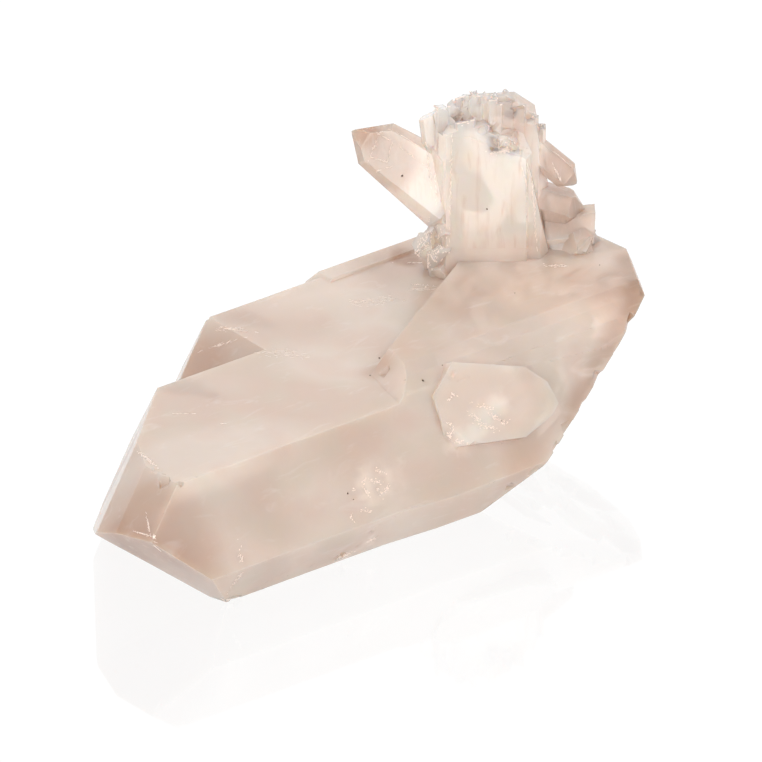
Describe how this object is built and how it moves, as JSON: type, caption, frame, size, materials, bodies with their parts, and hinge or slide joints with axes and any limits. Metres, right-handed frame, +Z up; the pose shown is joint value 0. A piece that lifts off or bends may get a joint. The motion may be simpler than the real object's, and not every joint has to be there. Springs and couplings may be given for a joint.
{
  "type": "quartz cluster",
  "caption": "Pale quartz cluster lying on its side: long parallel hexagonal prisms with pointed ends, and a small upright crown of crystals on top.",
  "frame": {"origin": "middle of the bounding box, on the surface that the cluster rests on", "axes": "+Z up; the long crystals lie along X with their points toward -X; the front of the picture looks from -X and -Y"},
  "size_m": [0.161, 0.0936, 0.0765],
  "materials": {
    "quartz": "cloudy natural crystal"
  },
  "bodies": {
    "root": {"quartz_cluster": "quartz"}
  },
  "joints": []
}
